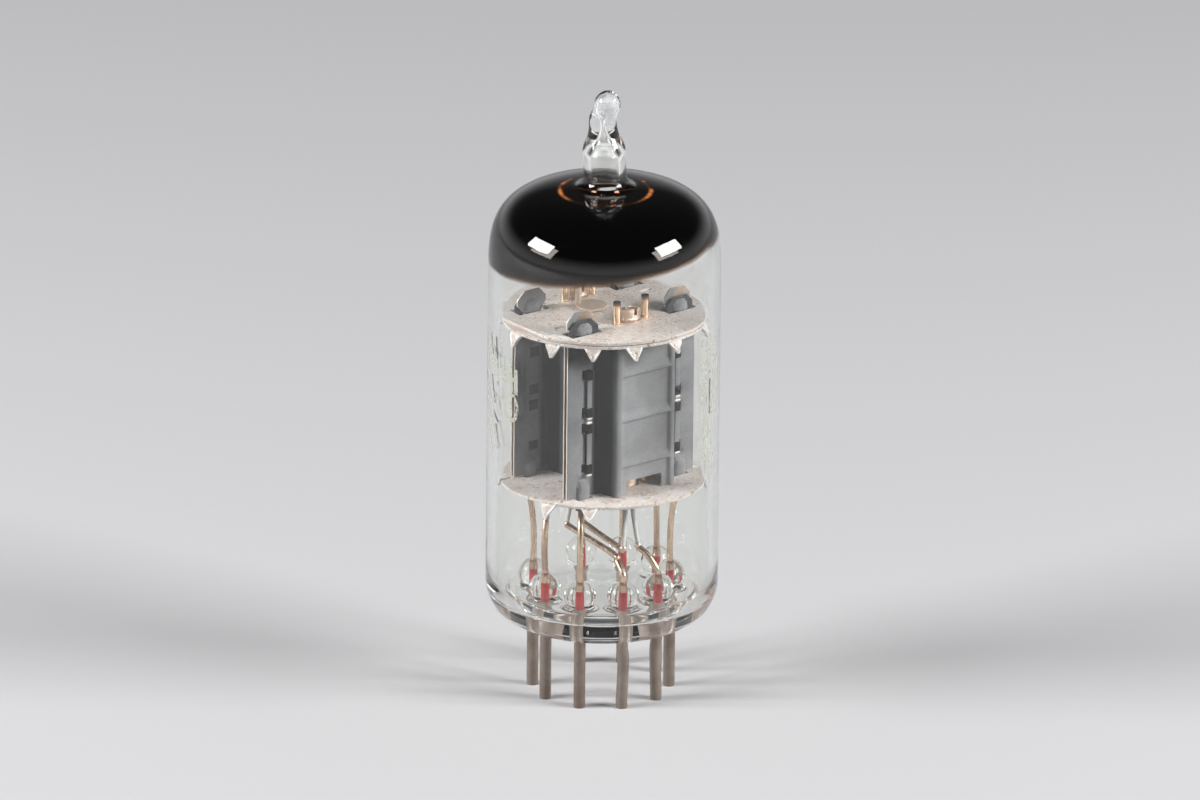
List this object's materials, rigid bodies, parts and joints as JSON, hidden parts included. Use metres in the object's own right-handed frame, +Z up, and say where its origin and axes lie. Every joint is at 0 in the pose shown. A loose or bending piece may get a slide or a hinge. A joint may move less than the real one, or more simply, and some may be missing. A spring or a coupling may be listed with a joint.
{
  "type": "vacuum tube",
  "caption": "Miniature glass vacuum tube that amplifies signals, with dark pressed anodes held between mica discs, a getter mirror in its dome and a ring of base pins.",
  "frame": {"origin": "on the tube's axis at the lower ends of the base pins", "axes": "+Z up along the tube's axis, -Y towards the side seen in the picture, +X to the right of that view"},
  "size_m": [0.0204, 0.0204, 0.0549],
  "materials": {
    "clear_glass": "clear, polished",
    "getter_film": "dark mirror film",
    "pin_nickel": "satin nickel",
    "seal_copper": "red oxidised copper under glass",
    "lead_nickel": "bright nickel wire",
    "mica": "pale sheet mica, coated",
    "carbonised_nickel": "matt carbonised nickel",
    "grid_copper": "polished copper rod",
    "cathode_nickel": "satin nickel",
    "heater_alumina": "white alumina coating"
  },
  "bodies": {
    "root": {"glass_bulb": "clear_glass", "button_stem": "clear_glass", "getter_mirror": "getter_film", "base_pin_1": "pin_nickel", "seal_wire_1": "seal_copper", "lead_wire_1": "lead_nickel", "base_pin_2": "pin_nickel", "seal_wire_2": "seal_copper", "lead_wire_2": "lead_nickel", "base_pin_3": "pin_nickel", "seal_wire_3": "seal_copper", "lead_wire_3": "lead_nickel", "base_pin_4": "pin_nickel", "seal_wire_4": "seal_copper", "lead_wire_4": "lead_nickel", "base_pin_5": "pin_nickel", "seal_wire_5": "seal_copper", "lead_wire_5": "lead_nickel", "base_pin_6": "pin_nickel", "seal_wire_6": "seal_copper", "lead_wire_6": "lead_nickel", "base_pin_7": "pin_nickel", "seal_wire_7": "seal_copper", "lead_wire_7": "lead_nickel", "base_pin_8": "pin_nickel", "seal_wire_8": "seal_copper", "lead_wire_8": "lead_nickel", "base_pin_9": "pin_nickel", "seal_wire_9": "seal_copper", "lead_wire_9": "lead_nickel", "heater_link": "lead_nickel", "lower_mica": "mica", "upper_mica_toothed": "mica", "upper_mica_plain": "mica", "front_anode_outer": "carbonised_nickel", "front_anode_inner": "carbonised_nickel", "front_grid_rod_left": "grid_copper", "front_grid_rod_right": "grid_copper", "front_grid_winding": "grid_copper", "front_cathode": "cathode_nickel", "front_heater": "heater_alumina", "back_anode_outer": "carbonised_nickel", "back_anode_inner": "carbonised_nickel", "back_grid_rod_left": "grid_copper", "back_grid_rod_right": "grid_copper", "back_grid_winding": "grid_copper", "back_cathode": "cathode_nickel", "back_heater": "heater_alumina", "getter_support": "cathode_nickel", "getter_ring": "cathode_nickel"}
  },
  "joints": []
}
